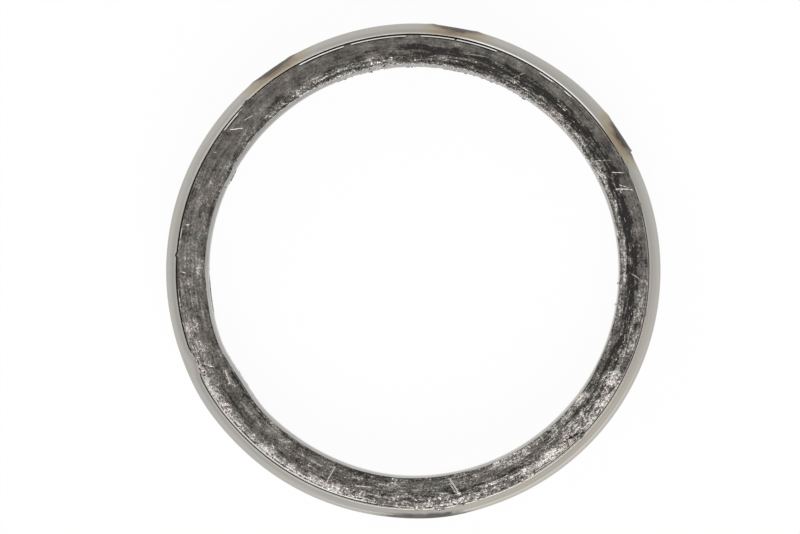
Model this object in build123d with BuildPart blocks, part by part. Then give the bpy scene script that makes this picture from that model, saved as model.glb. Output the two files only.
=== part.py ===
from build123d import *
from math import cos, degrees, radians, sin, sqrt
import os

# Exhaust ring gasket, lying flat. A ring of pressed wire and graphite is held between a thin
# steel liner in its bore and a thin steel band, and a barrel-shaped steel sheath, rolled from
# one strip with its ends lapped, is tacked over the band in three places.
# The axis is Z and the origin is on the axis at the lower face. Lengths are millimetres.
# Angles are degrees, counted anticlockwise from +X as seen from above.

# Overall sizes: the ring's width is from the bore to the belly of the sheath
bore_diameter = 64.0
ring_width = 6.4
height = 9.5

# Sheets and the gaps between them
liner_sheet = 0.25
band_sheet = 0.22
sheath_sheet = 0.25
band_gap = 0.08
lap_gap = 0.04

# Sheath: how far its belly stands out past its rims, and how far they lie below the faces
belly_rise = 1.65
rim_recess = 0.1

# Faces of the core: a flat land outside, and a slope from it down to the liner
slope_width = 1.95
slope_drop = 0.9
liner_stand = 0.1

# Lap of the sheath: the free end lies outside, from lap_start on over lap_angle, and the
# strip then bends back to the base circle over bend_angle
lap_start = 28.6
lap_angle = 9.4
bend_angle = 28.0

# Joint of the band, behind the second weld
butt_angle = 79.3
butt_width = 0.35

# Tack welds, one through the lap, one over the band's joint and one beyond it. Each is a
# flat pressed into the belly, with a pad of melted metal behind it.
butt_weld_offset = 0.8
third_weld_angle = 125.0
weld_flat_depth = 0.14
weld_pad_width = 3.0
weld_pad_height = 2.4
cutter_width = 12.0
cutter_reach = 2.0

# The barrel's arc, worked out from the belly, its rise and the sheath's height
belly_radius = bore_diameter / 2 + ring_width
sheath_half_height = height / 2 - rim_recess
arc_radius = (sheath_half_height**2 + belly_rise**2) / (2 * belly_rise)
arc_centre = belly_radius - arc_radius

# Depths of the faces, measured inwards from the outside of the sheath
band_depth = sheath_sheet + band_gap
core_depth = band_depth + band_sheet

# The lap stands out by one sheet and its gap. Two equal arcs, one curved more than the
# base circle and one less, carry the strip back, and bend_offset is how far their centres
# lie from the axis.
lap_step = sheath_sheet + lap_gap
lap_end = lap_start + lap_angle
bend_middle = lap_end + bend_angle / 2
bend_end = lap_end + bend_angle
bend_offset = lap_step / (2 * (1 - cos(radians(bend_angle / 2))))

# Each weld's angle, and how far the sheath stands out there
welds = [
    ((lap_start + lap_end) / 2, lap_step),
    (butt_angle + butt_weld_offset, 0),
    (third_weld_angle, 0),
]

os.makedirs("parts", exist_ok=True)


def polar(radius, angle, level=0):
    """The point at a radius, an angle and a level above mid-height."""
    return (radius * cos(radians(angle)), radius * sin(radians(angle)), height / 2 + level)


def radial_plane(angle, centre=(0, 0, height / 2)):
    """An upright plane through the centre, whose X axis points outwards at the angle."""
    return Plane(
        origin=centre,
        x_dir=(cos(radians(angle)), sin(radians(angle)), 0),
        z_dir=(sin(radians(angle)), -cos(radians(angle)), 0),
    )


def barrel_point(depth, level, shift=0):
    """A point of a barrel face that lies at a depth inside the sheath's outer face."""
    return (arc_centre + sqrt((arc_radius - depth) ** 2 - level**2) + shift, level)


def barrel_section(plane, outer_depth, inner_depth, half_height, shift=0):
    """The section of a curved sheet between two depths."""
    levels = (-half_height, 0, half_height)
    outer = [barrel_point(outer_depth, level, shift) for level in levels]
    inner = [barrel_point(inner_depth, level, shift) for level in levels]
    with BuildSketch(plane) as section:
        with BuildLine():
            ThreePointArc(*outer)
            ThreePointArc(*inner)
            Line(outer[0], inner[0])
            Line(outer[-1], inner[-1])
        make_face()
    return section.sketch


# Outer sheath, in four runs from the free end round to the end under the lap
lap_centre = (0, 0, height / 2)
tight_centre = polar(bend_offset, lap_end)
wide_centre = polar(-bend_offset, bend_end)
sheath_runs = [
    (lap_centre, lap_start, lap_angle, lap_step),
    (tight_centre, lap_end, bend_angle / 2, lap_step - bend_offset),
    (wide_centre, bend_middle, bend_angle / 2, bend_offset),
    (lap_centre, bend_end, 360 - bend_angle, 0),
]

pad_angle = degrees(weld_pad_width / belly_radius)
with BuildPart() as outer_sheath:
    for centre, start, sweep_angle, shift in sheath_runs:
        run = barrel_section(
            radial_plane(start, centre), 0, sheath_sheet, sheath_half_height, shift
        )
        revolve(run, axis=Axis(centre, (0, 0, 1)), revolution_arc=sweep_angle)

    for weld_angle, step in welds:
        pad = barrel_section(
            radial_plane(weld_angle - pad_angle / 2),
            sheath_sheet / 2 - step,
            band_depth,
            weld_pad_height / 2,
        )
        revolve(pad, axis=Axis.Z, revolution_arc=pad_angle)

        flat_plane = Plane(
            origin=polar(belly_radius + step - weld_flat_depth, weld_angle),
            x_dir=(-sin(radians(weld_angle)), cos(radians(weld_angle)), 0),
            z_dir=(cos(radians(weld_angle)), sin(radians(weld_angle)), 0),
        )
        with BuildSketch(flat_plane):
            Rectangle(cutter_width, height)
        extrude(amount=cutter_reach, mode=Mode.SUBTRACT)

outer_sheath.part.label = "outer_sheath"
export_step(outer_sheath.part, "parts/outer_sheath.step")

# Inner band, a rolled strip whose ends meet at the middle weld
butt_sweep = degrees(butt_width / belly_radius)
with BuildPart() as inner_band:
    strip = barrel_section(
        radial_plane(butt_angle + butt_sweep / 2), band_depth, core_depth, sheath_half_height
    )
    revolve(strip, axis=Axis.Z, revolution_arc=360 - butt_sweep)

inner_band.part.label = "inner_band"
export_step(inner_band.part, "parts/inner_band.step")

# Core of pressed wire and graphite, the same at its upper and lower faces
core_half_height = height / 2
core_inner_radius = bore_diameter / 2 + liner_sheet
wall_half_height = core_half_height - slope_drop
land_inner_radius = core_inner_radius + slope_width
core_outside = [
    barrel_point(core_depth, level) for level in (-core_half_height, 0, core_half_height)
]
with BuildPart() as wire_graphite_core:
    with BuildSketch(radial_plane(0)):
        with BuildLine():
            ThreePointArc(*core_outside)
            Polyline(
                core_outside[-1],
                (land_inner_radius, core_half_height),
                (core_inner_radius, wall_half_height),
                (core_inner_radius, -wall_half_height),
                (land_inner_radius, -core_half_height),
                core_outside[0],
            )
        make_face()
    revolve(axis=Axis.Z)

wire_graphite_core.part.label = "wire_graphite_core"
export_step(wire_graphite_core.part, "parts/wire_graphite_core.step")

# Bore liner, a plain tube whose ends stand a little out of the core's slopes
liner_length = 2 * (wall_half_height + liner_stand)
with BuildPart() as bore_liner:
    with BuildSketch(Plane.XY.offset((height - liner_length) / 2)):
        Circle(core_inner_radius)
        Circle(bore_diameter / 2, mode=Mode.SUBTRACT)
    extrude(amount=liner_length)

bore_liner.part.label = "bore_liner"
export_step(bore_liner.part, "parts/bore_liner.step")
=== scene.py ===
"""The looks of an exhaust ring gasket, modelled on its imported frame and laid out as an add-on.

A barrel-shaped steel sheath is tacked over a thin band, and both hold a ring of pressed wire
and graphite, which a steel liner closes towards the bore. Angles are degrees, anticlockwise
from +X as seen from above. Lengths are metres, and in the tables millimetres.
"""

import math
import random
from functools import reduce

import bmesh
import bpy
from bpy.props import FloatProperty, FloatVectorProperty, IntProperty, PointerProperty
from mathutils import Matrix, Vector, noise


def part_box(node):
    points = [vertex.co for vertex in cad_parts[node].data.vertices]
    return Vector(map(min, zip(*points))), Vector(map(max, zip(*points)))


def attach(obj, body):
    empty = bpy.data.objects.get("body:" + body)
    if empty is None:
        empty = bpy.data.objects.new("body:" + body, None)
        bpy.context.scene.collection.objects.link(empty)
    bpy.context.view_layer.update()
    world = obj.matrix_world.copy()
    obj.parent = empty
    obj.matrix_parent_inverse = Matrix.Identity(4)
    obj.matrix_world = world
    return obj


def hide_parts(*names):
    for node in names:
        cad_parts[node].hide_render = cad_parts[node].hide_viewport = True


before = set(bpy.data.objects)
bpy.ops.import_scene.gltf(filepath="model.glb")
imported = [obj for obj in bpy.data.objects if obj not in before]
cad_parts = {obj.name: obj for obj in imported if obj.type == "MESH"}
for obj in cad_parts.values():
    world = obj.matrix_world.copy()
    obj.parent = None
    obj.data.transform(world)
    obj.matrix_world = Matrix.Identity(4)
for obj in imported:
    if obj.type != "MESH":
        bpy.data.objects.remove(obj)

bl_info = {
    "name": "Exhaust Ring Gasket",
    "version": (1, 0, 0),
    "blender": (4, 5, 0),
    "location": "View3D > Sidebar > Gasket",
    "description": "Builds a worn exhaust ring gasket of steel sheet, pressed wire and graphite",
    "category": "Add Mesh",
}

MM = 0.001
BELLY_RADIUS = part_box("outer_sheath")[1].x
SHEATH_HALF_HEIGHT = (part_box("outer_sheath")[1].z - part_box("outer_sheath")[0].z) / 2
CORE_HALF_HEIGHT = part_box("wire_graphite_core")[1].z / 2
LINER_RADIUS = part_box("bore_liner")[1].x
LINER_HALF_HEIGHT = (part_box("bore_liner")[1].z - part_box("bore_liner")[0].z) / 2


def in_metres(columns, rows):
    """A table whose given columns are turned from millimetres into metres."""
    return [
        tuple(item * MM if column in columns else item for column, item in enumerate(row))
        for row in rows
    ]


# Places round the ring
LAP_START = 28.6
LAP_END = 38.0
BEND_END = 66.0
BAND_JOINT = 79.3
LINER_JOINT = 156.0
WELDS = [33.3, 80.1, 125.0]

# Heat marks of the welds: angle, half width and half height
HEAT_MARKS = in_metres([1, 2], [(32.3, 3.6, 3.7), (79.6, 4.0, 3.6), (124.3, 4.3, 3.8)])

# Sides of the sheath with painted light, painted highlight and dark reflection lines and a painted
# dark reflection, and sides of the liner with painted shade and painted light
SHEATH_LIT_SIDE = 308
FACET_HIGHLIGHT_SIDE = 292
DARK_REFLECTION_SIDE = 272.5
LINER_SHADED_SIDE = 115
LINER_LIT_SIDE = 315

# Where the sheath's rim is pushed in, or out: angle, half width and how far at the rim
RIM_PUSHES = in_metres([2], [(203.2, 4.5, 0.55), (176.2, 0.8, -0.2), (158, 46, 0.09)])

# Where the sheath is out of round: angle, half width and how far it stands out
SHEATH_BULGES = in_metres([2], [(212, 14, 0.12), (277, 14, 0.14), (110, 24, -0.07)])

# Where the bore is dented inwards: angle, half width and depth
BORE_DENTS = in_metres([2], [(212, 13, 0.44), (235, 34, 0.28), (112, 64, 0.1)])

# Arcs where the core leaves the band's edge bare: start and end
BARE_BAND = [
    (47.8, 49.4), (53.3, 57.0), (69.0, 87.8), (91.5, 105.0), (107.0, 118.6),
    (138.0, 143.0), (169.6, 172.0), (185.0, 190.0), (213.0, 249.0), (252.5, 261.0),
]

# Where the core spills over the sheath's rim: angle, half width and the radius that it reaches
SPILLS = in_metres([2], [
    (16.2, 0.6, 36.65),
    (22.5, 0.8, 36.6),
    (25.4, 1.7, 36.7),
    (28.7, 0.7, 36.6),
    (134.8, 1.6, 36.7),
    (262.5, 1.2, 36.6),
    (271.2, 2.2, 36.8),
    (276.7, 2.4, 37.0),
    (281.5, 2.6, 36.8),
    (286.0, 3.4, 36.7),
    (292.0, 4.0, 36.65),
    (297.7, 0.8, 36.9),
    (300.2, 1.6, 36.65),
    (315.6, 1.4, 36.65),
    (349.5, 1.0, 36.6),
])

# Arcs where the cut edges of the sheath, the band and the liner carry a painted highlight:
# start, end and strength
RIM_HIGHLIGHT = [(38, 78, 0.85), (78, 156, 0.08), (208, 262, 0.08)]
BAND_HIGHLIGHT = [(46, 60, 0.7), (60, 122, 1.0), (136, 145, 0.35), (166, 192, 0.4), (214, 258, 0.5)]
BORE_HIGHLIGHT = [(14, 58, 0.6), (112, 150, 0.75), (285, 330, 0.4)]

# Arcs where the core is smeared over the sheath's rim
SMEARED_RIM = [(14, 33), (262, 300)]

# Arcs where the back of the sheath's rim is painted dark, as painted shade in the gap between the
# sheath and the band: start, end and strength
RIM_GAP_SHADE = [(36, 200, 1.0), (200, 254, 0.25), (254, 300, 0.75)]

# Where the band's rim is thinned: angle, half width and share of the sheet that is gone
THIN_BAND = [(95, 60, 0.42), (170, 50, 0.35)]

# Burrs of the core over the bore: angle, half width and the radius that they reach
BURRS = in_metres([2], [
    (57.4, 0.9, 31.8),
    (97.8, 0.6, 31.76),
    (101.8, 0.5, 31.76),
    (152.6, 3.4, 31.86),
    (187, 9, 31.9),
    (350.5, 0.6, 31.84),
    (356.5, 0.5, 31.84),
])

# Arcs where the core is frayed over the bore, and where loose ends of wire stick out over it
FRAYED_BORE = (56, 116)
LOOSE_BORE = (22, 118)

# Arcs where the core leaves the liner's edge bare: start and end
BARE_LINER = [(15, 56), (286, 332)]

# The painted highlight and the painted gap shade stored on the sheets' rims, and the share of a
# sheet's thickness from which its rim counts as its back
RIM_LAYERS = ["shine", "grime"]
BACK_FROM = 0.6

# Arc where the back of the band's rim has less painted shade in the gap between the band and
# the core
LESS_SHADED_BAND = (214, 256)

# Gap between the core's spilled edges and the rims below them, and how thick those edges are
SPILL_GAP = 0.02 * MM
SPILL_THICKNESS = 0.04 * MM

# Arc where the core's slope is wider, and how much
WIDE_SLOPE = (212, 304)
SLOPE_EXTRA = 0.62 * MM

# Pits of the upper face: angle, radius, width and depth
PITS = in_metres([1, 2, 3], [
    (206.3, 35.73, 0.46, 0.36),
    (126.8, 32.81, 0.42, 0.24),
    (101.9, 34.3, 0.34, 0.16),
    (86.7, 34.24, 0.45, 0.12),
    (51.4, 33.69, 0.4, 0.12),
    (185.8, 33.95, 0.3, 0.16),
    (341.5, 34.05, 0.5, 0.14),
])

# Scratches of the upper face: angle and radius of both ends, width and strength
SCRATCHES = in_metres([1, 3, 4], [
    (20.1, 36.11, 21.7, 33.8, 0.11, 0.9),
    (20.8, 35.65, 22.4, 34.49, 0.1, 0.8),
    (24.8, 35.8, 26.0, 34.26, 0.11, 0.8),
    (28.7, 35.25, 31.1, 32.56, 0.1, 0.5),
    (60.3, 34.98, 62.5, 33.28, 0.13, 0.5),
    (70.2, 34.89, 76.2, 34.34, 0.14, 0.5),
    (113.8, 32.9, 116.3, 32.51, 0.22, 0.5),
    (126.3, 32.03, 127.8, 32.57, 0.14, 0.8),
    (135.9, 34.34, 138.2, 34.73, 0.1, 0.6),
    (139.9, 34.11, 142.2, 35.5, 0.13, 0.8),
    (148.8, 35.26, 149.2, 35.73, 0.12, 0.6),
    (168.4, 35.18, 168.5, 35.57, 0.12, 0.8),
    (180.2, 35.72, 180.6, 34.87, 0.12, 0.8),
    (204.1, 35.11, 205.9, 34.03, 0.14, 1.0),
    (208.2, 32.72, 211.7, 33.11, 0.24, 1.0),
    (215.6, 35.51, 216.6, 34.97, 0.12, 0.7),
    (231.0, 34.29, 232.1, 34.75, 0.12, 0.8),
    (237.8, 32.29, 239.3, 33.07, 0.14, 0.5),
    (248.1, 36.01, 248.1, 34.47, 0.11, 0.9),
    (248.1, 34.47, 248.5, 32.46, 0.12, 1.2),
    (255.8, 34.17, 259.3, 33.94, 0.12, 0.7),
    (256.7, 35.56, 257.4, 34.79, 0.11, 0.7),
    (264.6, 32.8, 266.6, 33.42, 0.16, 0.6),
    (268.3, 34.34, 271.1, 35.35, 0.15, 0.7),
    (271.8, 35.12, 274.6, 33.74, 0.1, 0.5),
    (280.0, 33.29, 281.2, 34.98, 0.12, 0.7),
    (280.3, 32.6, 282.0, 35.29, 0.2, 1.2),
    (319.1, 35.34, 319.9, 33.96, 0.13, 1.4),
    (357.2, 35.51, 359.1, 33.82, 0.12, 0.6),
])

# Crack of the upper face, as a run of angles and radii
CRACK = in_metres([1], [(311.8, 35.27), (313.6, 35.43), (315.5, 35.80), (317.3, 36.41)])

# Zones of the core's faces: middle angle, half width, inner radius, outer radius and strength
# Zones of bright wire, partly real bare wire and partly painted light
METAL_AND_LIGHT_ZONES = in_metres([2, 3], [
    (230, 32, 34.9, 36.0, 1.05),
    (230, 32, 35.6, 36.8, 2.5),
    (272, 34, 35.0, 37.4, 0.62),
    (283, 24, 35.8, 37.4, 1.1),
    (314, 27, 34.7, 37.0, 1.08),
    (322, 15, 33.7, 35.2, 0.85),
    (338, 12, 33.9, 35.3, 0.8),
    (205, 18, 34.2, 36.4, 0.75),
    (208, 58, 32.3, 35.4, 0.42),
    (285, 40, 32.5, 34.0, 0.4),
    (20, 44, 31.6, 32.95, 0.95),
    (98, 24, 31.3, 32.6, 0.75),
    (135, 26, 31.6, 32.4, 0.45),
    (306, 26, 31.8, 33.5, 0.8),
    (352, 14, 34.8, 36.4, 0.3),
    (114, 12, 32.2, 33.0, 0.5),
    (210, 5, 32.4, 33.2, 0.5),
])
# Zones of graphite, and of painted shade in the core's crease and along the liner
SOOT_AND_SHADE_ZONES = in_metres([2, 3], [
    (30, 72, 33.1, 34.75, 1.35),
    (355, 20, 33.1, 34.7, 1.05),
    (233, 26, 33.5, 34.9, 0.45),
    (290, 22, 34.2, 34.9, 0.45),
    (245, 52, 31.5, 32.25, 0.9),
    (72, 22, 32.5, 33.9, 0.9),
    (96, 20, 32.8, 34.2, 0.42),
    (5, 14, 32.9, 34.4, 0.3),
])
CALM_ZONES = in_metres([2, 3], [
    (122, 42, 33.4, 36.6, 0.75),
    (150, 20, 32.6, 35.6, 0.6),
    (60, 62, 34.7, 37.0, 0.72),
    (10, 14, 34.9, 37.0, 0.45),
    (188, 34, 32.0, 36.6, 0.55),
    (228, 26, 32.2, 36.8, 0.5),
    (300, 44, 32.5, 34.2, 0.4),
    (340, 16, 32.3, 33.6, 0.3),
])
ZONES = {"metal": METAL_AND_LIGHT_ZONES, "soot": SOOT_AND_SHADE_ZONES, "calm": CALM_ZONES}
CORE_LAYERS = [*ZONES, "scratch"]

# Colours that come beside the ones that a user would change
DUSTY_STEEL = (0.43, 0.418, 0.386)
# Warm tint of the sheath's side with painted light
WARM_TINT = (1.0, 0.97, 0.945)
# Colour of the painted dark reflection on the sheath's belly
DARK_REFLECTION = (0.055, 0.051, 0.046)
LINER_TINT = (0.78, 0.78, 0.78)
LINER_SMUDGE = (0.3, 0.29, 0.28)
# Colour of the painted light on the liner's lower half
LIT_LINER = (0.8, 0.8, 0.79)
PRESSED_WIRE = (0.18, 0.165, 0.152)
RUBBED_WIRE = (0.33, 0.305, 0.285)
PAPER = (0.9, 0.9, 0.9)
PALER_PAPER = (0.91, 0.91, 0.905)
WHITE = (1, 1, 1, 1)

# Tints of a weld's heat mark, from its middle outwards
HEAT_TINTS = [
    (0.0, (0.16, 0.145, 0.145)),
    (0.3, (0.12, 0.105, 0.095)),
    (0.45, (0.16, 0.125, 0.1)),
    (0.52, (0.5, 0.4, 0.3)),
    (0.62, (0.84, 0.72, 0.58)),
    (0.74, (0.93, 0.88, 0.73)),
    (0.9, (1.0, 1.0, 1.0)),
]

# Tints of the core, from its greenish to its reddish patches
CORE_TINTS = [
    (0.3, (0.93, 1.0, 0.98)),
    (0.45, (1.0, 1.0, 1.0)),
    (0.58, (1.0, 1.0, 1.0)),
    (0.7, (1.03, 0.975, 0.97)),
]


def length_property(name, description, default):
    """A length that a user would change."""
    return FloatProperty(name=name, description=description, default=default, unit="LENGTH")


def colour_property(name, description, default):
    """A colour that a user would change."""
    return FloatVectorProperty(name=name, description=description, default=default, subtype="COLOR")


class GasketSizes(bpy.types.PropertyGroup):
    """Sizes of the gasket's sheets, its core and its wire."""

    belly_radius: length_property(
        "Belly Radius", "Outer radius of the sheath at mid-height", BELLY_RADIUS
    )
    belly_rise: length_property(
        "Belly Rise", "How far the sheath's belly stands out past its rims", 1.65 * MM
    )
    sheath_sheet: length_property("Sheath Sheet", "Thickness of the sheath", 0.25 * MM)
    lap_step: length_property(
        "Lap Step", "How far the sheath's free end stands out over the end below it", 0.29 * MM
    )
    weld_depth: length_property(
        "Weld Depth", "How deep a tack weld is pressed into the belly", 0.14 * MM
    )
    band_gap: length_property("Band Gap", "Gap between the sheath and the band", 0.08 * MM)
    band_sheet: length_property("Band Sheet", "Thickness of the band", 0.22 * MM)
    band_joint: length_property("Band Joint", "Gap between the ends of the band", 0.35 * MM)
    liner_sheet: length_property("Liner Sheet", "Thickness of the bore liner", 0.25 * MM)
    liner_joint: length_property("Liner Joint", "Gap between the ends of the bore liner", 0.06 * MM)
    slope_width: length_property(
        "Slope Width", "Width of the core's slope, from its land down to the liner", 1.95 * MM
    )
    slope_drop: length_property(
        "Slope Drop", "How far the core's slope falls towards the liner", 0.9 * MM
    )
    wire_diameter: length_property(
        "Wire Diameter", "Diameter of the knitted wire in the core", 0.12 * MM
    )
    wire_count: IntProperty(
        name="Wire Count",
        description="Number of wire stretches that show on each face",
        default=1700,
        min=10,
    )
    loose_ends: IntProperty(
        name="Loose Ends",
        description="Number of wire ends that stick out over the frayed part of the bore",
        default=520,
        min=0,
    )


class GasketColours(bpy.types.PropertyGroup):
    """Colours of the gasket's finishes."""

    steel: colour_property("Steel", "Satin stainless sheet", (0.45, 0.43, 0.392))
    # Colour of the painted highlight along the sheets' cut edges
    edge_highlight_colour: colour_property("Edge Highlight", "Bright sheared edge of the sheet", (0.8, 0.79, 0.76))
    graphite: colour_property("Graphite", "Graphite smeared over the wire", (0.12, 0.11, 0.1))
    # Also the colour of painted shade in the gaps, the pits and the crack
    soot: colour_property("Soot and Shade", "Darkest graphite, in the hollows", (0.013, 0.012, 0.01))
    bare_wire: colour_property("Bare Wire", "Wire rubbed bright", (0.64, 0.6, 0.57))


def smooth_step(low, high, value):
    """0 below low, 1 above high and a smooth rise between them."""
    share = min(max((value - low) / (high - low), 0.0), 1.0)
    return share * share * (3 - 2 * share)


def angle_gap(angle, centre):
    """The turn from one direction to another, between -180 and 180 degrees."""
    return (angle - centre + 180) % 360 - 180


def bump(angle, centre, half_width):
    """1 at the centre and 0 from half_width on."""
    return 1 - smooth_step(0, half_width, abs(angle_gap(angle, centre)))


def inside_arc(angle, start, end, fade):
    """1 inside an arc and 0 outside it, with ends that fade."""
    half_width = (end - start) / 2
    gap = abs(angle_gap(angle, start + half_width))
    return 1 - smooth_step(half_width - fade, half_width + fade, gap)


def inside_any(arcs, angle, fade):
    """1 inside any of some arcs and 0 outside them, with ends that fade."""
    return max(inside_arc(angle, start, end, fade) for start, end in arcs)


def edge_light_and_shade(arcs, angle, fade=4.0):
    """How strongly an edge carries its painted highlight or its painted gap shade at an angle."""
    return max(strength * inside_arc(angle, start, end, fade) for start, end, strength in arcs)


def dented(dents, angle):
    """The sum of some dents at an angle."""
    return sum(size * bump(angle, place, half_width) for place, half_width, size in dents)


def polar(radius, angle, level=0.0):
    """The point at a radius, an angle and a level above mid-height."""
    turn = math.radians(angle)
    return Vector((radius * math.cos(turn), radius * math.sin(turn), CORE_HALF_HEIGHT + level))


def angle_of(point):
    """The angle at which a point lies."""
    return math.degrees(math.atan2(point.y, point.x))


def ring_noise(angle, radius, length, seed):
    """Noise that runs once round a ring without a seam, in steps of about the given length."""
    turn = math.radians(angle)
    size = radius / length
    return noise.noise(Vector((size * math.cos(turn), size * math.sin(turn), seed)))


def barrel_radius(sizes, depth, level):
    """Radius of a curved sheet's face, at a depth inside the sheath's outer face."""
    arc = (SHEATH_HALF_HEIGHT**2 + sizes.belly_rise**2) / (2 * sizes.belly_rise)
    return sizes.belly_radius - arc + math.sqrt((arc - depth) ** 2 - level**2)


def lap_shift(sizes, turn):
    """How far the sheath stands out at a turn along its strip."""
    half_bend = (BEND_END - LAP_END) / 2
    offset = sizes.lap_step / (2 * (1 - math.cos(math.radians(half_bend))))
    if turn <= LAP_END:
        return sizes.lap_step
    if turn <= LAP_END + half_bend:
        return sizes.lap_step - offset * (1 - math.cos(math.radians(turn - LAP_END)))
    if turn <= BEND_END:
        return offset * (1 - math.cos(math.radians(BEND_END - turn)))
    return 0.0


def rim_push(angle, level):
    """How far the sheath and the band are pushed in near the upper rim."""
    return smooth_step(0.45, 1.0, level / SHEATH_HALF_HEIGHT) * dented(RIM_PUSHES, angle)


def sheath_radius(sizes, turn, level, depth):
    """Radius at a depth in the sheath, with its lap, its welds and its dents."""
    weld_reach = 9
    softness = 0.03 * MM
    hump_angle = 5.2
    hump_half_height = 1.6 * MM
    hump_rise = 0.09 * MM

    outside = barrel_radius(sizes, 0, level)
    share = level / SHEATH_HALF_HEIGHT
    pressed = 0.85 * smooth_step(0.5, 1.0, abs(share))
    step = lap_shift(sizes, turn) * (1 - pressed)
    radius = outside + step + dented(SHEATH_BULGES, turn) - rim_push(turn, level)
    radius += 0.03 * MM * ring_noise(turn, BELLY_RADIUS, 9 * MM, seed=3.0) * share
    for weld in WELDS:
        gap = angle_gap(turn, weld)
        if abs(gap) > weld_reach:
            continue
        flat = (sizes.belly_radius + step - sizes.weld_depth) / math.cos(math.radians(gap))
        radius = (radius + flat - math.sqrt((radius - flat) ** 2 + softness**2)) / 2
        hump = math.exp(-((abs(gap) - hump_angle) ** 2) - (level / hump_half_height) ** 2)
        radius += hump_rise * hump
    return radius - outside + barrel_radius(sizes, depth, level)


def band_radius(sizes, turn, level, depth):
    """Radius at a depth in the band, whose upper rim is thinned from outside."""
    near_rim = smooth_step(0.5, 1.0, level / SHEATH_HALF_HEIGHT)
    thinned = max(near_rim * share * bump(turn, place, width) for place, width, share in THIN_BAND)
    depth += thinned * (sizes.band_sheet - depth) + sizes.sheath_sheet + sizes.band_gap
    return barrel_radius(sizes, depth, level) + dented(SHEATH_BULGES, turn) - rim_push(turn, level)


def liner_radius(turn):
    """Radius of the liner's outer face, with its dents."""
    wave = 0.03 * MM * ring_noise(turn, LINER_RADIUS, 12 * MM, seed=5.0)
    return LINER_RADIUS - dented(BORE_DENTS, turn) + wave


def core_outer_radius(sizes, level):
    """Radius of the core's outer wall, inside the band."""
    return barrel_radius(sizes, sizes.sheath_sheet + sizes.band_gap + sizes.band_sheet, level)


def bare_band(angle):
    """1 where the core leaves the band's edge bare."""
    return inside_any(BARE_BAND, angle, fade=0.4)


def outer_reach(sizes, angle, seed):
    """Radius that the core's face reaches outwards, over the band or over the sheath's rim."""
    wall = core_outer_radius(sizes, SHEATH_HALF_HEIGHT)
    covering = wall + sizes.band_sheet + 0.03 * MM
    covering += 0.05 * MM * ring_noise(angle, BELLY_RADIUS, 0.5 * MM, seed + 11)
    set_back = wall - 0.06 * MM
    reach = covering + (set_back - covering) * bare_band(angle)
    jagged = 1 + 0.45 * ring_noise(angle, BELLY_RADIUS, 0.4 * MM, seed + 17)
    ragged = 0.9 + 1.4 * ring_noise(angle, BELLY_RADIUS, 0.8 * MM, seed + 29)
    reach += 0.2 * MM * inside_any(SMEARED_RIM, angle, fade=2.0) * ragged
    for place, width, radius in SPILLS:
        share = smooth_step(0.0, 0.55, bump(angle, place, width)) * jagged
        reach += max(radius - reach, 0.0) * share
    return reach + dented(SHEATH_BULGES, angle) - rim_push(angle, SHEATH_HALF_HEIGHT)


def inner_reach(angle, seed):
    """Radius that the core's face reaches inwards, to the liner, over its edge or into the bore."""
    bare = inside_any(BARE_LINER, angle, fade=2.0)
    frayed = 0.5 + 0.5 * ring_noise(angle, LINER_RADIUS, 0.6 * MM, seed + 23)
    reach = LINER_RADIUS - (1 - 0.9 * bare) * (0.16 + 0.12 * frayed) * MM
    tufts = abs(ring_noise(angle, LINER_RADIUS, 0.45 * MM, seed + 27))
    reach -= 0.3 * MM * tufts * inside_arc(angle, *FRAYED_BORE, fade=6.0)
    for place, width, radius in BURRS:
        share = smooth_step(0.0, 0.8, bump(angle, place, width))
        reach = min(reach, reach + (radius - reach) * share)
    return reach - dented(BORE_DENTS, angle)


def crease_radius(sizes, angle):
    """Radius of the crease between the core's land and its slope."""
    return LINER_RADIUS + sizes.slope_width + SLOPE_EXTRA * inside_arc(angle, *WIDE_SLOPE, fade=8.0)


def zone_strength(kind, angle, radius):
    """The strongest zone of a kind at a place on the core's face."""
    strongest = 0.0
    fade = 0.35 * MM
    furthest = 1.3
    ragged = radius + 0.3 * MM * ring_noise(angle, BELLY_RADIUS, 2.2 * MM, seed=31.0)
    ragged += 0.2 * MM * ring_noise(angle, BELLY_RADIUS, 0.7 * MM, seed=37.0)
    for place, half_width, inner, outer, strength in ZONES[kind]:
        gap = abs(angle_gap(angle, place)) / half_width
        if gap > furthest:
            continue
        across = smooth_step(inner - fade, inner + fade, ragged)
        across *= 1 - smooth_step(outer - fade, outer + fade, ragged)
        along = 1 - smooth_step(0.5, furthest, gap)
        strongest = max(strongest, strength * across * along)
    return strongest


def nearness(point, start, end, width):
    """1 on the straight line between two places given by angle and radius, and 0 from a width on."""
    furthest = 9
    if abs(angle_gap(angle_of(point), start[0])) > furthest:
        return 0.0
    first = polar(start[1], start[0]).to_2d()
    along = polar(end[1], end[0]).to_2d() - first
    offset = point.to_2d() - first
    share = min(max(offset.dot(along) / along.length_squared, 0.0), 1.0)
    return 1 - smooth_step(0.3 * width, width, (offset - along * share).length)


def scratched(point, margin=0.0):
    """How strongly the upper face is scratched at a point."""
    strongest = 0.0
    for *ends, width, strength in SCRATCHES:
        strongest = max(strongest, strength * nearness(point, ends[:2], ends[2:], width + margin))
    return strongest


def pit_depth(point):
    """How deep the upper face is pitted at a point."""
    total = 0.0
    for angle, radius, width, depth in PITS:
        distance = (point.to_2d() - polar(radius, angle).to_2d()).length
        total += depth * math.exp(-((distance / (0.6 * width)) ** 2))
    return total


def cracked(point):
    """1 in the middle of the upper face's crack and 0 away from it."""
    return max(nearness(point, start, end, 0.24 * MM) for start, end in zip(CRACK, CRACK[1:]))


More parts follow.
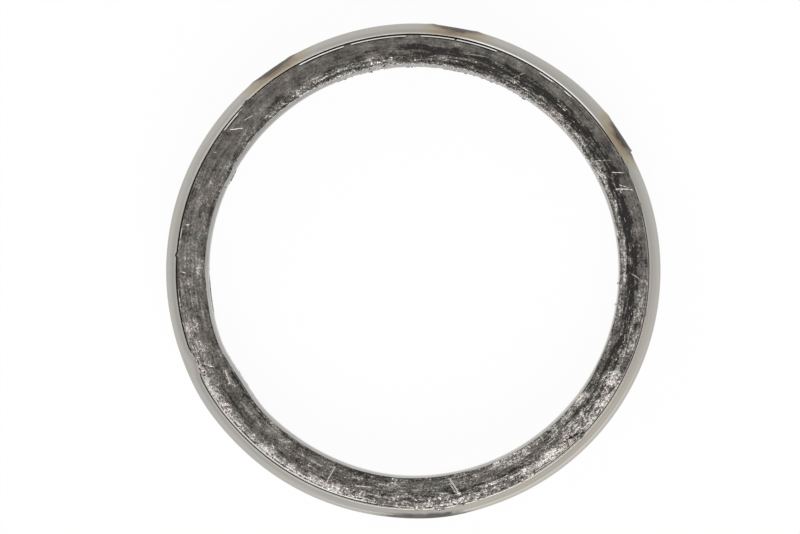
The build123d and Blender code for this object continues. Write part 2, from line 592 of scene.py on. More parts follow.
def face_level(sizes, angle, radius, upper):
    """Level of the core's face above mid-height, with its lumps, its grain and its damage."""
    seed = 0.0 if upper else 40.0
    point = polar(radius, angle)
    crease = crease_radius(sizes, angle) if upper else LINER_RADIUS + sizes.slope_width
    share = (crease - radius) / (crease - LINER_RADIUS)
    softness = 0.1
    slope = (share + math.hypot(share, softness)) / 2
    level = CORE_HALF_HEIGHT - sizes.slope_drop * slope

    place = Vector((point.x, point.y, seed)) / MM
    lumps = noise.noise(place / 1.9)
    knots = noise.noise(place / 0.55 + Vector((0, 0, 9)))
    grain = noise.noise(place / 0.24 + Vector((0, 0, 5)))
    streak = ring_noise(angle, radius, 3.2 * MM, seed=seed + radius / (0.3 * MM))
    near_crease = math.exp(-(((radius - crease) / (0.8 * MM)) ** 2))
    level -= (0.075 + 0.05 * lumps + 0.045 * knots + 0.02 * grain) * MM
    level -= 0.05 * MM * streak * near_crease
    if upper:
        level -= pit_depth(point) + (0.07 * scratched(point) + 0.4 * cracked(point)) * MM
    return level


class Value:
    """A socket of a material. Sums and products of it add their Math nodes."""

    def __init__(self, tree, socket):
        self.tree = tree
        self.socket = socket

    def node(self, kind, settings=None, inputs=None, output=0):
        """Adds a shader node, sets it up, links its inputs and gives one of its outputs."""
        node = self.tree.nodes.new("ShaderNode" + kind)
        for name, setting in (settings or {}).items():
            if name == "stops":
                fill_ramp(node.color_ramp, setting)
            else:
                setattr(node, name, setting)
        for name, value in (inputs or {}).items():
            if isinstance(value, Value):
                self.tree.links.new(value.socket, node.inputs[name])
            else:
                node.inputs[name].default_value = value
        return Value(self.tree, node.outputs[output] if node.outputs else None)

    def math(self, operation, first, second=0.0):
        return self.node("Math", {"operation": operation}, {0: first, 1: second})

    def __add__(self, other):
        return self.math("ADD", self, other)

    def __sub__(self, other):
        return self.math("SUBTRACT", self, other)

    def __rsub__(self, other):
        return self.math("SUBTRACT", other, self)

    def __mul__(self, other):
        return self.math("MULTIPLY", self, other)

    def __truediv__(self, other):
        return self.math("DIVIDE", self, other)

    def __pow__(self, other):
        return self.math("POWER", self, other)

    def __abs__(self):
        return self.math("ABSOLUTE", self)

    __radd__ = __add__
    __rmul__ = __mul__

    def smaller(self, other):
        """The smaller of two values."""
        return self.math("MINIMUM", self, other)

    def larger(self, other):
        """The larger of two values."""
        return self.math("MAXIMUM", self, other)

    def step(self, low, high):
        """0 at low, 1 at high and a smooth rise between them."""
        limits = {"Value": self, "From Min": low, "From Max": high}
        return self.node("MapRange", {"interpolation_type": "SMOOTHSTEP"}, limits)

    def ramp(self, stops):
        """A colour for each value, from a list of places and colours."""
        return self.node("ValToRGB", {"stops": stops}, {"Fac": self})

    def mix(self, first, second):
        """A colour between two, with this value as the share of the second."""
        colours = {0: self, 6: opaque(first), 7: opaque(second)}
        return self.node("Mix", {"data_type": "RGBA"}, colours, 2)

    def tint(self, colour):
        """This colour multiplied by another."""
        settings = {"data_type": "RGBA", "blend_type": "MULTIPLY"}
        return self.node("Mix", settings, {0: 1.0, 6: self, 7: opaque(colour)}, 2)

    def grey(self):
        """A grey as bright as this value."""
        return self.node("CombineXYZ", None, {0: self, 1: self, 2: self})

    def part(self, axis):
        """One axis of a vector."""
        return self.node("SeparateXYZ", None, {0: self}, "XYZ".index(axis))

    def towards(self, angle):
        """How far this place lies towards an angle, as a share of the bore's radius."""
        turn = math.radians(angle)
        outwards = self.part("X") * math.cos(turn) + self.part("Y") * math.sin(turn)
        return outwards / LINER_RADIUS

    def round_ring(self, along, across, slant=0.0):
        """These coordinates unrolled round the ring and scaled, so that noise runs along it."""
        x, y = self.part("X"), self.part("Y")
        radius = (x * x + y * y) ** 0.5
        turn = self.math("ARCTAN2", y, x) + (radius - LINER_RADIUS) * (slant / LINER_RADIUS)
        size = LINER_RADIUS / along
        parts = {0: turn.math("COSINE", turn) * size, 1: turn.math("SINE", turn) * size}
        parts[2] = (radius + 0.5 * self.part("Z")) / across
        return self.node("CombineXYZ", None, parts)

    def stretched(self, along_z):
        """These coordinates, for noise that is stretched or squeezed along Z."""
        inputs = {"Vector": self, "Scale": (1.0, 1.0, along_z)}
        return self.node("Mapping", {"vector_type": "TEXTURE"}, inputs)

    def noise(self, size, detail=2.0, roughness=0.5):
        """Noise between 0 and 1 on this vector, whose lumps have about the given size."""
        inputs = {"Vector": self, "Scale": 1 / size, "Detail": detail, "Roughness": roughness}
        return self.node("TexNoise", None, inputs)

    def attribute(self, name):
        """A number that is stored on the mesh's points."""
        return self.node("Attribute", {"attribute_name": name}, None, 2)


def fill_ramp(ramp, stops):
    """Gives a colour ramp its stops, as places and colours."""
    while len(ramp.elements) < len(stops):
        ramp.elements.new(1.0)
    for element, (place, colour) in zip(ramp.elements, stops):
        element.position = place
        element.color = opaque(colour)


def opaque(colour):
    """A colour with its alpha, or a socket as it is."""
    if isinstance(colour, Value):
        return colour
    return (*tuple(colour)[:3], 1.0)


def new_material(name):
    """An empty node material and its object coordinates."""
    material = bpy.data.materials.new(name)
    material.use_nodes = True
    material.node_tree.nodes.clear()
    start = Value(material.node_tree, None)
    return material, start.node("TexCoord", None, None, 3)


def finish_surface(colour, roughness, metallic, height, bump_distance, specular=0.5):
    """Ends a material with a Principled surface and its bump."""
    relief = {"Strength": 1.0, "Distance": bump_distance, "Height": height}
    looks = {
        "Base Color": colour,
        "Roughness": roughness,
        "Metallic": metallic,
        "Specular IOR Level": specular,
        "Normal": colour.node("Bump", None, relief),
    }
    surface = colour.node("BsdfPrincipled", None, looks)
    colour.node("OutputMaterial", None, {"Surface": surface})


def spot_distance(place, angle, half_width, half_height):
    """Distance from the middle of a spot on the sheath, where 1 is the spot's edge."""
    turn = math.radians(angle)
    sideways = place.part("X") * -math.sin(turn) + place.part("Y") * math.cos(turn)
    far_off = 10
    outwards = place.towards(angle)
    behind = outwards.math("LESS_THAN", outwards, 0.0)
    level = place.part("Z") - CORE_HALF_HEIGHT
    return ((sideways / half_width) ** 2 + (level / half_height) ** 2) ** 0.5 + far_off * behind


def mark_sheath(place, colour, level, lines, smudges):
    """Adds the sheath's heat marks, painted light on one side, a painted highlight line and a painted
    dark reflection line, and a painted dark reflection on the belly, and gives how dull they make it.
    """
    nearest_weld = reduce(Value.smaller, [spot_distance(place, *mark) for mark in HEAT_MARKS])
    burnt = nearest_weld + 0.5 * place.noise(1.3 * MM, 4.0, 0.6) - 0.25
    colour = colour.tint((burnt / 2).ramp(HEAT_TINTS))

    # Painted light: one side of the sheath is lighter and warmer
    lit_share = place.towards(SHEATH_LIT_SIDE).step(0.7, 1.12)
    # A painted highlight line and a painted dark reflection line along the belly, on one side
    line = 1 - abs(level - 2.7 * MM).step(0.0, 0.6 * MM)
    dark_reflection_line = 1 - abs(level - 3.55 * MM).step(0.0, 0.3 * MM)
    facet_side = place.towards(FACET_HIGHLIGHT_SIDE).step(0.62, 1.1)
    glow = 1 + 0.07 * lit_share + facet_side * (0.32 * line - 0.17 * dark_reflection_line)
    colour = colour.tint(glow.grey())
    colour = lit_share.mix(colour, colour.tint(WARM_TINT))

    # A painted dark reflection in a ragged oval on the belly, which is also made duller
    across = (place.part("Z") - CORE_HALF_HEIGHT - 1.5 * MM) / (2.6 * MM)
    along = place.towards(DARK_REFLECTION_SIDE - 90) / 0.23
    oval = (across * across + along * along) ** 0.5
    ragged = oval + 0.7 * (lines + place.noise(1.6 * MM, 4.0, 0.6) - 1)
    dark_patch = (1 - ragged.step(0.65, 1.15)) * place.towards(DARK_REFLECTION_SIDE).step(0.5, 0.8)
    dark_patch = (dark_patch * (0.75 + 0.6 * smudges)).smaller(1.0)
    colour = dark_patch.mix(colour, DARK_REFLECTION)
    return colour, dark_patch.larger(0.6 - 0.6 * burnt.step(0.4, 0.8))


def steel_finish(name, colours, marked=False):
    """Satin sheet with drawing lines and smudges, painted shade towards the rims and on the belly, a
    painted highlight on the cut edges, painted shade in the gap behind the rim, and the sheath's
    marks.
    """
    material, place = new_material(name)
    level = abs(place.part("Z") - CORE_HALF_HEIGHT)
    lines = place.stretched(0.012).noise(16 * MM, 3.0, 0.7)
    broad_lines = place.stretched(0.04).noise(22 * MM, 2.0)
    smudges = place.noise(7 * MM, 3.0, 0.6)
    specks = place.noise(0.5 * MM, 2.0)

    shade = 0.62 + 0.28 * lines + 0.26 * broad_lines + 0.2 * smudges
    # Painted shade: darker towards the rims and across the middle of the belly
    rim_shade = 0.16 * level.step(3.2 * MM, 4.6 * MM)
    belly_shade = 0.1 * level.step(3.0 * MM, 1.4 * MM)
    shade = shade * (1 - rim_shade - belly_shade)
    colour = smudges.step(0.35, 0.65).mix(colours.steel, DUSTY_STEEL)
    colour = colour.tint(shade.grey())
    roughness = 0.27 + 0.16 * smudges + 0.1 * lines
    dull = 0.0
    if marked:
        colour, dull = mark_sheath(place, colour, level, lines, smudges)

    # Painted highlight along the cut edge at the top of the rim
    edge = level.step(SHEATH_HALF_HEIGHT - 0.03 * MM, SHEATH_HALF_HEIGHT - 0.01 * MM)
    colour = (edge * place.attribute("shine")).mix(colour, colours.edge_highlight_colour)
    # Painted shade in the gap behind the rim, in the soot colour
    colour = place.attribute("grime").mix(colour, colours.soot)
    height = lines + 0.6 * specks
    finish_surface(colour, roughness + 0.3 * dull, 1 - 0.8 * dull, height, 0.012 * MM)
    return material


def liner_finish(colours):
    """Smooth sheet of the bore, rubbed with graphite along its edges, with painted light on its lower
    half and on one side, painted shade on the other side and below its top edge, and a painted
    highlight along that edge.
    """
    material, place = new_material("liner_steel")
    upwards = place.part("Z") - CORE_HALF_HEIGHT
    level = abs(upwards)
    rub = place.stretched(12.0).noise(0.7 * MM, 3.0, 0.6)
    smudges = place.noise(4 * MM, 3.0)
    near_edge = (level + 0.5 * MM * smudges).step(LINER_HALF_HEIGHT - 0.9 * MM, LINER_HALF_HEIGHT)
    dark_patch = 0.55 * near_edge * rub.step(0.35, 0.7)
    colour = dark_patch.mix(colours.steel, colours.graphite)
    colour = (0.25 * smudges.step(0.4, 0.7)).mix(colour, LINER_SMUDGE)
    # Painted light: the liner is paler towards its lower rim
    lit_share = (0 - upwards).step(0.1 * LINER_HALF_HEIGHT, LINER_HALF_HEIGHT)
    colour = (0.6 * lit_share).mix(colour.tint(LINER_TINT), LIT_LINER)
    # Painted shade on one side of the bore and painted light on the other
    shade_share = place.towards(LINER_SHADED_SIDE).step(0.1, 0.9)
    light_share = place.towards(LINER_LIT_SIDE).step(0.2, 0.9)
    colour = colour.tint((1 - 0.34 * shade_share + 0.3 * light_share).grey())
    shine = place.attribute("shine")
    # Painted shade on the upper bore wall below the highlighted edge, in the graphite colour
    below_edge = upwards.step(0.2 * MM, LINER_HALF_HEIGHT - 1.0 * MM)
    colour = (0.6 * below_edge * shine).mix(colour, colours.graphite)
    edge = level.step(LINER_HALF_HEIGHT - 0.04 * MM, LINER_HALF_HEIGHT - 0.015 * MM)
    colour = (0.5 * edge).mix(colour, colours.graphite)
    # Painted highlight along the liner's cut edge
    colour = (edge * shine).mix(colour, colours.edge_highlight_colour)
    finish_surface(colour, 0.3 + 0.2 * smudges + 0.2 * dark_patch, 1.0, rub, 0.01 * MM)
    return material


def core_finish(name, colours):
    """Graphite rubbed over pressed wire: grey streaks and mottling with bright and dark spots. The
    bright wire also carries painted light and glints, and the dark graphite painted shade in the
    crease, the pits, the crack and the gaps.
    """
    material, place = new_material(name)
    metal = place.attribute("metal")
    soot = place.attribute("soot")
    calm = place.attribute("calm")
    scratch = place.attribute("scratch")

    grain = place.noise(0.32 * MM, 2.0, 0.6)
    clouds = place.noise(1.7 * MM, 2.0)
    streaks = place.round_ring(3.8 * MM, 0.42 * MM).noise(1.0, 1.0, 0.5)
    dashes = place.round_ring(0.9 * MM, 0.2 * MM).noise(1.0, 2.0, 0.6)
    slanted = place.round_ring(1.1 * MM, 0.16 * MM, slant=0.9).noise(1.0, 2.0, 0.6)
    crossing = place.round_ring(1.1 * MM, 0.16 * MM, slant=-1.0).noise(1.0, 2.0, 0.6)
    flecks = dashes.larger(slanted).larger(crossing).step(0.63, 0.69)
    hollows = 1 - grain.smaller(dashes).step(0.29, 0.37)

    chips = place.noise(0.7 * MM, 3.0, 0.7).step(0.57, 0.63)
    blotches = place.round_ring(3.0 * MM, 0.6 * MM).noise(1.0, 3.0, 0.6).step(0.42, 0.55)

    texture = 0.4 * grain + 0.3 * streaks + 0.1 * dashes + 0.2 * clouds - 0.5
    rough = 1 - 0.84 * calm
    # Where the painted shade is strongest, in pits, the crack and the gap lines, the tone drops
    # further
    pitted = (soot - 1.4).larger(0.0)
    tone = 0.36 + 0.26 * metal - (0.1 + 0.45 * blotches) * soot - pitted
    tone = tone + (4.9 + 0.3 * metal) * rough * texture
    # Bright wire flecks, partly bare wire and partly painted glints, more of them in the dark crease
    flecks_and_glints = (0.28 + 0.5 * metal + 0.3 * soot) * (0.25 + 0.75 * rough) * flecks
    tone = tone + flecks_and_glints + 0.2 * metal * chips
    tone = tone - (0.2 + 0.2 * metal) * rough * hollows + 0.7 * calm * (clouds - 0.5)
    tone = (tone + 0.3 * scratch).larger(scratch * (0.5 + 0.45 * grain.step(0.3, 0.6)))
    colour = tone.ramp(
        [
            (0.0, colours.soot),
            (0.4, colours.graphite),
            (0.6, PRESSED_WIRE),
            (0.8, RUBBED_WIRE),
            (1.0, colours.bare_wire),
        ]
    )
    colour = colour.tint(place.noise(3.2 * MM, 2.0).ramp(CORE_TINTS))
    bright = tone.step(0.45, 0.95)
    roughness = 0.6 - 0.25 * bright
    metallic = 0.25 + 0.65 * bright
    height = grain + streaks + 0.6 * flecks
    finish_surface(colour, roughness, metallic, height, 0.12 * MM, specular=0.3)
    return material


def link_object(name, data):
    """A new object in the scene, from its data."""
    piece = bpy.data.objects.new(name, data)
    bpy.context.scene.collection.objects.link(piece)
    return piece


def add_piece(name, mesh, material, node=None):
    """Adds a finished mesh as a piece of the gasket, which may stand for a CAD node."""
    piece = link_object(name, mesh)
    mesh.materials.append(material)
    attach(piece, "root")
    if node:
        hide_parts(node)


def mesh_from(shape, name, sharp_angle=40):
    """Turns a bmesh into a smooth mesh with sharp edges above an angle."""
    for face in shape.faces:
        face.smooth = True
    mesh = bpy.data.meshes.new(name)
    shape.to_mesh(mesh)
    shape.free()
    mesh.set_sharp_from_angle(angle=math.radians(sharp_angle))
    return mesh


def sheet_section(half_height, sheet, rows, worn=0.04 * MM):
    """Depths and levels round the section of a sheet, whose rims are worn down at the back."""
    corner = 0.04 * MM
    cut = 0.3 * corner
    levels = [(half_height - corner) * (2 * row / rows - 1) for row in range(rows + 1)]
    outer = [(0.0, level) for level in levels]
    rim = [(cut, half_height - cut), (corner, half_height), (sheet - worn, half_height)]
    rim.append((sheet - 0.3 * worn, half_height - 0.4 * worn))
    inner = [(sheet, min(level, half_height - worn)) for level in reversed(levels)]
    inner[-1] = (sheet, worn - half_height)
    foot = [(depth, -level) for depth, level in reversed(rim)]
    return outer + rim + inner + foot


def rolled_mesh(name, section, start, sweep, columns, place, layer_names, sharp_angle=40):
    """Wraps a grid round a section and rolls it into a ring, whose open ends are closed.

    place() puts a vertex where it belongs, from its entry of the section and its turn, and
    stores numbers on it in the named layers.
    """
    ring = bmesh.new()
    rows = len(section)
    bmesh.ops.create_grid(ring, x_segments=columns, y_segments=rows, size=0.5)
    layers = [ring.verts.layers.float.new(layer) for layer in layer_names]
    for vertex in ring.verts:
        column = round((vertex.co.x + 0.5) * columns)
        row = round((vertex.co.y + 0.5) * rows) % rows
        place(vertex, section[row], start + sweep * column / columns, layers)
    bmesh.ops.remove_doubles(ring, verts=ring.verts[:], dist=0.0001 * MM)
    ends = [edge for edge in ring.edges if edge.is_boundary]
    bmesh.ops.holes_fill(ring, edges=ends)
    bmesh.ops.recalc_face_normals(ring, faces=ring.faces[:])
    return mesh_from(ring, name, sharp_angle)


class GASKET_OT_sheath(bpy.types.Operator):
    """Build the barrel-shaped outer sheath, with its lap, tack welds and dents"""

    bl_idname = "gasket.sheath"
    bl_label = "Outer Sheath"

    columns = 1280
    rows = 18
    worn = 0.11 * MM
    tuck_in = 0.035
    tuck_angle = 6

    def execute(self, context):
        sizes = context.scene.gasket_sizes
        section = sheet_section(SHEATH_HALF_HEIGHT, sizes.sheath_sheet, self.rows, self.worn)

        def place(vertex, entry, turn, layers):
            depth, level = entry
            lap_below = 360 + LAP_START
            under_lap = smooth_step(lap_below - self.tuck_angle, lap_below, turn)
            lowered = level * (1 - self.tuck_in * under_lap)
            vertex.co = polar(sheath_radius(sizes, turn, lowered, depth), turn, lowered)
            # The front of the rim carries a painted highlight, and its back painted shade in the gap
            shine, grime = layers
            behind = depth > BACK_FROM * sizes.sheath_sheet
            vertex[shine] = 0.0 if behind else edge_light_and_shade(RIM_HIGHLIGHT, turn)
            vertex[grime] = edge_light_and_shade(RIM_GAP_SHADE, turn) if behind else 0.0

        name = "sheath_skin"
        sweep = 360 + LAP_END - LAP_START
        mesh = rolled_mesh(name, section, LAP_START, sweep, self.columns, place, RIM_LAYERS)
        finish = steel_finish("sheath_steel", context.scene.gasket_colours, marked=True)
        add_piece(name, mesh, finish, "outer_sheath")
        return {"FINISHED"}


class GASKET_OT_band(bpy.types.Operator):
    """Build the inner band, whose ends meet behind the middle weld"""

    bl_idname = "gasket.band"
    bl_label = "Inner Band"

    columns = 960
    rows = 12
    worn = 0.09 * MM

    def execute(self, context):
        sizes = context.scene.gasket_sizes
        section = sheet_section(SHEATH_HALF_HEIGHT, sizes.band_sheet, self.rows, self.worn)

        def place(vertex, entry, turn, layers):
            depth, level = entry
            vertex.co = polar(band_radius(sizes, turn, level, depth), turn, level)
            # The front of the band's rim carries a painted highlight, and its back painted shade in
            # the gap
            shine, grime = layers
            behind = depth > BACK_FROM * sizes.band_sheet
            # Painted shade in the gap between the band and the core, weaker along one arc
            back_shade = 1 - 0.7 * inside_arc(turn, *LESS_SHADED_BAND, fade=6.0)
            vertex[shine] = 0.0 if behind else edge_light_and_shade(BAND_HIGHLIGHT, turn)
            vertex[grime] = back_shade if behind else 0.0

        name = "band_strip"
        gap = math.degrees(sizes.band_joint / sizes.belly_radius)
        start = BAND_JOINT + gap / 2
        mesh = rolled_mesh(name, section, start, 360 - gap, self.columns, place, RIM_LAYERS)
        finish = steel_finish("band_steel", context.scene.gasket_colours)
        add_piece(name, mesh, finish, "inner_band")
        return {"FINISHED"}


class GASKET_OT_liner(bpy.types.Operator):
    """Build the liner of the bore, a rolled strip with dents and a fine joint"""

    bl_idname = "gasket.liner"
    bl_label = "Bore Liner"

    columns = 960
    rows = 10

    def execute(self, context):
        sizes = context.scene.gasket_sizes
        section = sheet_section(LINER_HALF_HEIGHT, sizes.liner_sheet, self.rows)

        def place(vertex, entry, turn, layers):
            depth, level = entry
            vertex.co = polar(liner_radius(turn) - depth, turn, level)
            # The bore side carries a painted highlight along its edge and painted shade below it
            (shine,) = layers
            in_bore = depth > sizes.liner_sheet / 2
            vertex[shine] = edge_light_and_shade(BORE_HIGHLIGHT, turn) if in_bore else 0.0

        name = "liner_tube"
        gap = math.degrees(sizes.liner_joint / LINER_RADIUS)
        start = LINER_JOINT + gap / 2
        mesh = rolled_mesh(name, section, start, 360 - gap, self.columns, place, ["shine"])
        finish = liner_finish(context.scene.gasket_colours)
        add_piece(name, mesh, finish, "bore_liner")
        return {"FINISHED"}


class GASKET_OT_core(bpy.types.Operator):
    """Build the core of pressed wire and graphite, with lumps, scratches, pits and spilled edges"""

    bl_idname = "gasket.core"
    bl_label = "Wire and Graphite Core"

    columns = 1200
    face_rows = 36
    # Share across a face beyond which its outer edge gets a painted shadow line
    shadow_line_from = 0.985

    def execute(self, context):
        sizes = context.scene.gasket_sizes
        reaches = {}

        def place(vertex, entry, turn, layers):
            side = (turn, entry[2] > 0)
            if side not in reaches:
                reaches[side] = self.reach(sizes, *side)
            self.shape(sizes, vertex, entry, turn % 360, reaches[side], layers)

        name = "pressed_core"
        section = self.section(sizes)
        mesh = rolled_mesh(name, section, 0, 360, self.columns, place, CORE_LAYERS, sharp_angle=80)
        finish = core_finish("wire_and_graphite", context.scene.gasket_colours)
        add_piece(name, mesh, finish, "wire_graphite_core")
        return {"FINISHED"}

    def section(self, sizes):
        """Points round the core's section: kind of place, radius or share across a face, and level."""
        top = SHEATH_HALF_HEIGHT - 0.02 * MM
        bottom = CORE_HALF_HEIGHT - sizes.slope_drop - 0.05 * MM
        wall = [("wall", core_outer_radius(sizes, top * share), top * share) for share in (0, 0.5, 1)]
        face = [("face", 1 - row / self.face_rows, top) for row in range(self.face_rows + 1)]
        upper = [*wall, ("tuck", 1.0, top), *face, ("wall", LINER_RADIUS, bottom)]
        lower = [(kind, across, -level) for kind, across, level in reversed(upper[1:])]
        return upper + lower

    def reach(self, sizes, angle, upper):
        """How far in and how far out a face reaches at an angle."""
        seed = 0.0 if upper else 3.0
        return inner_reach(angle, seed), outer_reach(sizes, angle, seed)

    def shape(self, sizes, vertex, entry, angle, reach, layers):
        """Moves one point of the grid to its place on the worn core, and stores its zones there."""
        kind, across, level = entry
        if kind == "wall":
            vertex.co = polar(self.wall_radius(across, angle, level), angle, level)
            return
        upper = level > 0
        inner, outer = reach
        radius = inner + (outer - inner) * across
        height = self.face_height(sizes, angle, radius, upper)
        if kind == "tuck":
            height = SHEATH_HALF_HEIGHT + SPILL_GAP
        height = min(height, CORE_HALF_HEIGHT)
        vertex.co = polar(radius, angle, height if upper else -height)

        *zones, scratch = layers
        for zone, layer in zip(ZONES, zones):
            vertex[layer] = zone_strength(zone, angle, radius)
        soot = zones[1]
        # A painted shadow line along the core's outer edge, where the band's edge is bare
        if across > self.shadow_line_from:
            vertex[soot] += 2.0 * bare_band(angle)
        if upper:
            # Pits and the crack are painted dark, as painted shade
            vertex[soot] += pit_depth(vertex.co) / (0.1 * MM) + 3.0 * cracked(vertex.co)
            vertex[scratch] = scratched(vertex.co)

    def face_height(self, sizes, angle, radius, upper):
        """Level of the core's face, which is raised where it spills over the band or the liner."""
        height = face_level(sizes, angle, radius, upper)
        past_wall = radius - core_outer_radius(sizes, SHEATH_HALF_HEIGHT)
        past_wall -= dented(SHEATH_BULGES, angle)
        past_liner = radius - LINER_RADIUS + dented(BORE_DENTS, angle)
        over_band = smooth_step(-0.2 * MM, 0.0, past_wall)
        over_liner = 1 - smooth_step(-0.05 * MM, 0.12 * MM, past_liner)
        spilled = SPILL_GAP + SPILL_THICKNESS
        height += max(SHEATH_HALF_HEIGHT + spilled - height, 0.0) * over_band
        return height + max(LINER_HALF_HEIGHT + spilled - height, 0.0) * over_liner

    def wall_radius(self, radius, angle, level):
        """Radius of the core's walls, which follow the dents of the liner and the band."""
        if radius < LINER_RADIUS + 0.1 * MM:
            return radius - dented(BORE_DENTS, angle)
        return radius + dented(SHEATH_BULGES, angle) - rim_push(angle, level)


class GASKET_OT_wires(bpy.types.Operator):
    """Lay stretches of the knitted wire in the core's upper and lower faces"""

    bl_idname = "gasket.wires"
    bl_label = "Knitted Wire"

    def execute(self, context):
        sizes = context.scene.gasket_sizes
        finish = core_finish("rubbed_wire", context.scene.gasket_colours)
        for name, upper in (("upper_wires", True), ("lower_wires", False)):
            mesh = self.lay_wires(sizes, name, upper)
            add_piece(name, mesh, finish)
        return {"FINISHED"}

    def lay_wires(self, sizes, name, upper):
        """One face's wires, as a bevelled curve made a mesh."""
        seed = 7 if upper else 8
        source = random.Random(seed)
        innermost = LINER_RADIUS - 0.05 * MM
        outermost = BELLY_RADIUS - 2.2 * MM
        curve = bpy.data.curves.new(name, "CURVE")
        curve.dimensions = "3D"
        curve.bevel_depth = sizes.wire_diameter / 2
        curve.bevel_resolution = 1
        curve.resolution_u = 2
        curve.use_fill_caps = True
        laid = 0
        while laid < sizes.wire_count:
            angle = source.uniform(0, 360)
            radius = source.uniform(innermost, outermost)
            metal = zone_strength("metal", angle, radius)
            calm = zone_strength("calm", angle, radius)
            chance = 0.3 + metal - 0.5 * calm
            if source.random() > chance:
                continue
            self.lay_stretch(sizes, curve, source, angle, radius, upper)
            laid += 1
        if upper:
            self.lay_bare_strands(sizes, curve)
            self.lay_loose_ends(sizes, curve, source)
        holder = bpy.data.objects.new(name + "_curve", curve)
        mesh = bpy.data.meshes.new_from_object(holder)
        mesh.name = name
        bpy.data.objects.remove(holder)
        bpy.data.curves.remove(curve)
        self.store_zones(mesh, upper)
        return mesh

    def add_strand(self, curve, points, order):
        """Adds a strand through points, each with the strand's thickness there, 1 being a wire's."""
        spline = curve.splines.new("NURBS")
        spline.points.add(len(points) - 1)
        for point, (place, thickness) in zip(spline.points, points):
            point.co = (*place, 1.0)
            point.radius = thickness
        spline.order_u = order
        spline.use_endpoint_u = True

    def lay_stretch(self, sizes, curve, source, angle, radius, upper):
        """Adds one stretch of wire, sunk into the face at both of its ends."""
        length = source.uniform(0.5, 2.2) * MM
        heading = math.radians(source.gauss(0, 42))
        bend = source.uniform(-1.3, 1.3)
        highest = CORE_HALF_HEIGHT - sizes.wire_diameter / 2
        innermost = LINER_RADIUS + 0.05 * MM
        outermost = barrel_radius(sizes, sizes.sheath_sheet, SHEATH_HALF_HEIGHT) - 0.15 * MM
        sinks = (-0.7, -0.15, 0.0, -0.15, -0.7)
        points = []
        for index, sink in enumerate(sinks):
            share = index / (len(sinks) - 1) - 0.5
            direction = heading + bend * share
            outwards = radius + length * share * math.sin(direction)
            outwards = min(max(outwards, innermost), outermost)
            along = angle + math.degrees(length * share * math.cos(direction) / radius)
            level = face_level(sizes, along, outwards, upper) + sink * sizes.wire_diameter
            level = min(level, highest)
            points.append((polar(outwards, along, level if upper else -level), 1.0))
        self.add_strand(curve, points, order=4)

    def lay_bare_strands(self, sizes, curve):
        """Adds a strand of bare wire along each scratch of the upper face."""
        last = 6
        highest = CORE_HALF_HEIGHT - 0.8 * sizes.wire_diameter
        for start, start_radius, end, end_radius, width, strength in SCRATCHES:
            thickness = 1.05 + 3.5 * (width / MM) * strength
            points = []
            for index in range(last + 1):
                share = index / last
                bowed = 0.08 * (1 - (2 * share - 1) ** 2)
                angle = start + (end - start) * share + bowed
                radius = start_radius + (end_radius - start_radius) * share
                level = face_level(sizes, angle, radius, True)
                level += 0.03 * MM if index in (0, last) else 0.13 * MM
                points.append((polar(radius, angle, min(level, highest)), thickness))
            self.add_strand(curve, points, order=3)

    def lay_loose_ends(self, sizes, curve, source):
        """Adds thin ends of wire that stick out over the frayed part of the bore."""
        for _ in range(sizes.loose_ends):
            angle = source.uniform(*LOOSE_BORE)
            root = LINER_RADIUS - dented(BORE_DENTS, angle) - source.uniform(-0.1, 0.15) * MM
            length = source.uniform(0.1, 0.5) * MM
            lean = source.uniform(-1.4, 1.4)
            level = LINER_HALF_HEIGHT + source.uniform(0.04, 0.16) * MM
            drop = source.uniform(0.0, 0.3) * MM
            points = []
            for share in (0.0, 0.5, 1.0):
                arched = level + 0.06 * MM * (share == 0.5) - drop * share**2
                place = polar(root - length * share, angle + lean * share, arched)
                points.append((place, 0.87 - 0.4 * share))
            self.add_strand(curve, points, order=3)

    def store_zones(self, mesh, upper):
        """Stores on the wires how strong each zone is there, with more metal than beside them."""
        for kind in CORE_LAYERS:
            layer = mesh.attributes.new(kind, "FLOAT", "POINT")
            for vertex, item in zip(mesh.vertices, layer.data):
                angle = angle_of(vertex.co)
                radius = vertex.co.to_2d().length
                if kind == "metal":
                    item.value = 0.25 + 1.5 * zone_strength(kind, angle, radius)
                elif kind != "scratch":
                    item.value = zone_strength(kind, angle, radius)
                elif upper:
                    over_bore = smooth_step(0.0, 0.25 * MM, LINER_RADIUS - 0.08 * MM - radius)
                    item.value = 1.6 * scratched(vertex.co, 0.16 * MM) + 1.5 * over_bore


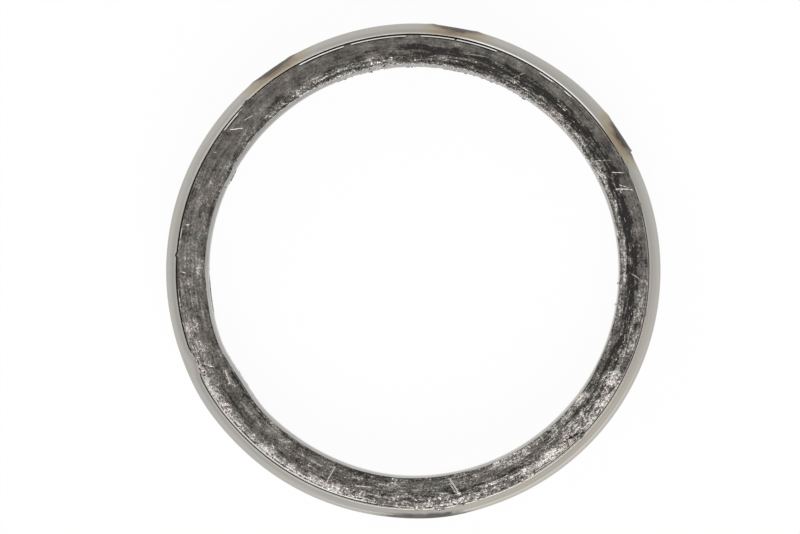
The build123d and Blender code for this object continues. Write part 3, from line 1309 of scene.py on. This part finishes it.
class GASKET_OT_stage(bpy.types.Operator):
    """Set up the pale floor, the soft lamps, the bright surroundings and the camera"""

    bl_idname = "gasket.stage"
    bl_label = "Stage"

    def execute(self, context):
        self.lay_floor()
        self.light_world(context.scene)
        self.hang_lamp("key_lamp", (0.1, -0.49, 0.42), size=0.4, power=2.8)
        self.hang_lamp("fill_lamp", (-0.4, 0.35, 0.35), size=0.4, power=0.8)
        self.place_camera(context.scene)
        context.scene.view_settings.view_transform = "Standard"
        return {"FINISHED"}

    def lay_floor(self):
        """A pale floor that looks white and still takes the object's shadow."""
        half_width = 3.0
        just_below = (0, 0, -0.02 * MM)
        floor = bmesh.new()
        bmesh.ops.create_grid(floor, x_segments=1, y_segments=1, size=half_width)
        bmesh.ops.translate(floor, verts=floor.verts[:], vec=just_below)
        mesh = mesh_from(floor, "floor")
        piece = link_object("floor", mesh)
        material, place = new_material("floor_paper")
        paper = place.noise(0.3).mix(PAPER, PALER_PAPER)
        diffuse = place.node("BsdfDiffuse", None, {"Color": paper})
        glow = place.node("Emission", None, {"Color": WHITE, "Strength": 1.0})
        share = seen_directly(place) * 0.95
        mixed = share.node("MixShader", None, {0: share, 1: diffuse, 2: glow})
        mixed.node("OutputMaterial", None, {"Surface": mixed})
        mesh.materials.append(material)

    def light_world(self, scene):
        """Even surroundings, which look white and light the object at a plain level."""
        world = bpy.data.worlds.new("studio")
        world.use_nodes = True
        world.node_tree.nodes.clear()
        start = Value(world.node_tree, None)
        direct = seen_directly(start)
        strength = 0.6 + 0.4 * direct
        light = start.node("Background", None, {"Color": WHITE, "Strength": strength})
        start.node("OutputWorld", None, {"Surface": light})
        scene.world = world

    def hang_lamp(self, name, place, size, power):
        """A square soft lamp that points at the gasket."""
        lamp = bpy.data.lights.new(name, "AREA")
        lamp.shape = "SQUARE"
        lamp.size = size
        lamp.energy = power
        holder = link_object(name, lamp)
        holder.location = place
        holder.rotation_euler = (-Vector(place)).to_track_quat("-Z", "Y").to_euler()

    def place_camera(self, scene):
        """The camera looks down on the gasket from nearly overhead, as in the photograph."""
        camera = bpy.data.cameras.new("camera")
        camera.sensor_width = 36.0
        camera.lens = 155.0
        camera.clip_start = 0.01
        holder = link_object("camera", camera)
        position = Vector((15.287, -3.107, 539.496)) * MM
        aim = Vector((-1.993, 0.564, 4.75)) * MM
        backwards = (position - aim).normalized()
        rightwards = Vector((0, 1, 0)).cross(backwards).normalized()
        upwards = backwards.cross(rightwards)
        turned = Matrix((rightwards, upwards, backwards)).transposed().to_4x4()
        holder.matrix_world = Matrix.Translation(position) @ turned
        scene.camera = holder


def seen_directly(start):
    """1 for what the camera, a reflection or clear glass sees, and 0 for what lights a surface."""
    rays = ("Is Camera Ray", "Is Glossy Ray", "Is Transmission Ray")
    return reduce(Value.larger, [start.node("LightPath", None, None, ray) for ray in rays])


class GASKET_PT_panel(bpy.types.Panel):
    """Lists the gasket's pieces, sizes and colours in the sidebar"""

    bl_idname = "GASKET_PT_panel"
    bl_label = "Exhaust Ring Gasket"
    bl_space_type = "VIEW_3D"
    bl_region_type = "UI"
    bl_category = "Gasket"

    def draw(self, context):
        layout = self.layout
        for operator in OPERATORS:
            layout.operator(operator.bl_idname)
        for group in (context.scene.gasket_sizes, context.scene.gasket_colours):
            box = layout.box()
            for name in group.__annotations__:
                box.prop(group, name)


OPERATORS = (
    GASKET_OT_sheath,
    GASKET_OT_band,
    GASKET_OT_liner,
    GASKET_OT_core,
    GASKET_OT_wires,
    GASKET_OT_stage,
)
CLASSES = (GasketSizes, GasketColours, *OPERATORS, GASKET_PT_panel)


def register():
    for item in CLASSES:
        bpy.utils.register_class(item)
    bpy.types.Scene.gasket_sizes = PointerProperty(type=GasketSizes)
    bpy.types.Scene.gasket_colours = PointerProperty(type=GasketColours)


def unregister():
    del bpy.types.Scene.gasket_colours
    del bpy.types.Scene.gasket_sizes
    for item in reversed(CLASSES):
        bpy.utils.unregister_class(item)


def main():
    """Builds every piece and the stage."""
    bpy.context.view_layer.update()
    register()
    bpy.ops.gasket.sheath()
    bpy.ops.gasket.band()
    bpy.ops.gasket.liner()
    bpy.ops.gasket.core()
    bpy.ops.gasket.wires()
    bpy.ops.gasket.stage()


if __name__ == "__main__":
    main()
